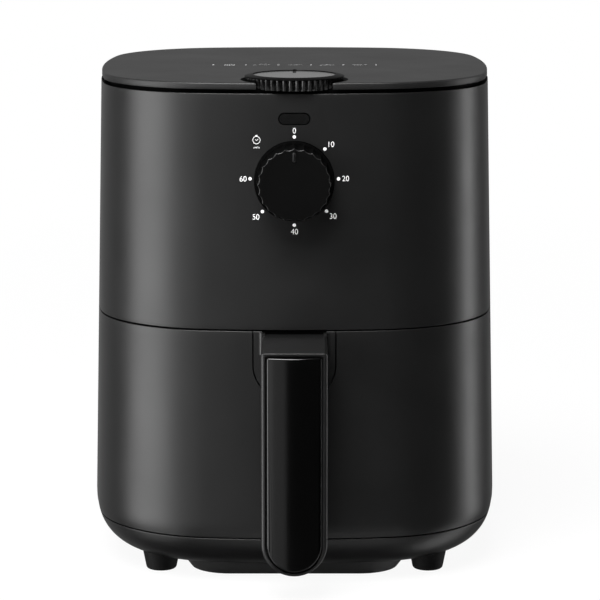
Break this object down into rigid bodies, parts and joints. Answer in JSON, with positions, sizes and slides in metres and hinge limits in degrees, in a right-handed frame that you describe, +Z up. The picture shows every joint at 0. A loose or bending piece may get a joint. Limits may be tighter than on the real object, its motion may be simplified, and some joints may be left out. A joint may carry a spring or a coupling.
{
  "type": "drawer air fryer",
  "caption": "Upright hot-air fryer with a pull-out pan drawer and bar handle, a front timer dial, a temperature dial on top and a fan and heater above the pan.",
  "frame": {"origin": "centre of the overall box, on the surface it stands on", "axes": "+Z up, -Y towards the front with the handle, +X to the right seen from the front"},
  "size_m": [0.266, 0.317, 0.3237],
  "materials": {
    "shell": "fine satin anthracite plastic",
    "top": "satin anthracite plastic",
    "dial": "satin black plastic",
    "gloss": "polished black plastic",
    "lens": "dark tinted lens",
    "inner_plastic": "moulded black plastic",
    "rubber": "soft black rubber",
    "silicone": "silicone",
    "coated": "non-stick coated steel",
    "zinc": "zinc plated sheet",
    "steel": "bright steel",
    "heater": "oxidised heater sheath",
    "alloy": "pressed aluminium",
    "winding": "taped winding",
    "laminations": "stacked laminations"
  },
  "bodies": {
    "housing": {"upper_housing": "shell", "top_cover": "top", "rear_housing": "shell", "base_pan": "shell", "front_bezel": "inner_plastic", "bottom_cover": "inner_plastic", "cooking_liner": "zinc", "left_rail": "zinc", "right_rail": "zinc", "hot_air_dome": "zinc", "exhaust_duct": "inner_plastic", "rear_grille": "inner_plastic", "cord_gland": "rubber", "indicator_lens": "lens", "indicator_lamp": "inner_plastic", "heater_coil": "heater", "heater_support": "zinc", "deck": "zinc", "motor_bracket": "zinc", "motor_stator": "laminations", "motor_coil": "winding", "upper_bearing": "zinc", "thermal_cutoff": "inner_plastic", "thermostat_body": "inner_plastic", "timer_case": "inner_plastic", "interlock_switch": "inner_plastic", "terminal_block": "inner_plastic", "foot_front_left": "rubber", "foot_front_right": "rubber", "foot_rear_left": "rubber", "foot_rear_right": "rubber", "foot_screws": "steel"},
    "drawer": {"drawer_front": "shell", "drawer_panel": "inner_plastic", "pan": "coated", "pan_bracket": "zinc", "pan_screws": "steel", "handle_body": "shell", "handle_inlay": "gloss", "handle_bracket": "alloy", "handle_screws": "steel", "interlock_finger": "inner_plastic"},
    "grid": {"crisper_grid": "coated", "left_grid_bumper": "silicone", "right_grid_bumper": "silicone"},
    "timer_dial": {"timer_knob": "dial", "timer_shaft": "steel"},
    "temperature_dial": {"temperature_knob": "dial", "thermostat_shaft": "steel"},
    "fan": {"convection_fan": "alloy", "cooling_fan": "inner_plastic", "fan_nut": "steel", "motor_shaft": "steel", "motor_rotor": "laminations"},
    "plunger": {"interlock_plunger": "inner_plastic"}
  },
  "joints": [
    {"name": "drawer_slide", "type": "slide", "parent": "housing", "child": "drawer", "axis": [0, -1, 0], "range_m": [0, 0.21]},
    {"name": "grid_lift", "type": "slide", "parent": "drawer", "child": "grid", "axis": [0, 0, 1], "range_m": [0, 0.085]},
    {"name": "timer_turn", "type": "hinge", "parent": "housing", "child": "timer_dial", "pos_m": [0, -0.11186, 0.2593], "axis": [0, 1, 0], "range_deg": [0, 270]},
    {"name": "temperature_turn", "type": "hinge", "parent": "housing", "child": "temperature_dial", "pos_m": [0, -0.0855, 0.32], "axis": [0, 0, 1], "range_deg": [-135, 135]},
    {"name": "fan_spin", "type": "hinge", "parent": "housing", "child": "fan", "pos_m": [0, 0.02875, 0.19], "axis": [0, 0, 1], "continuous": true},
    {"name": "interlock_press", "type": "slide", "parent": "housing", "child": "plunger", "axis": [0, 1, 0], "range_m": [0, 0.0015], "stiffness_N_per_m": 300}
  ]
}
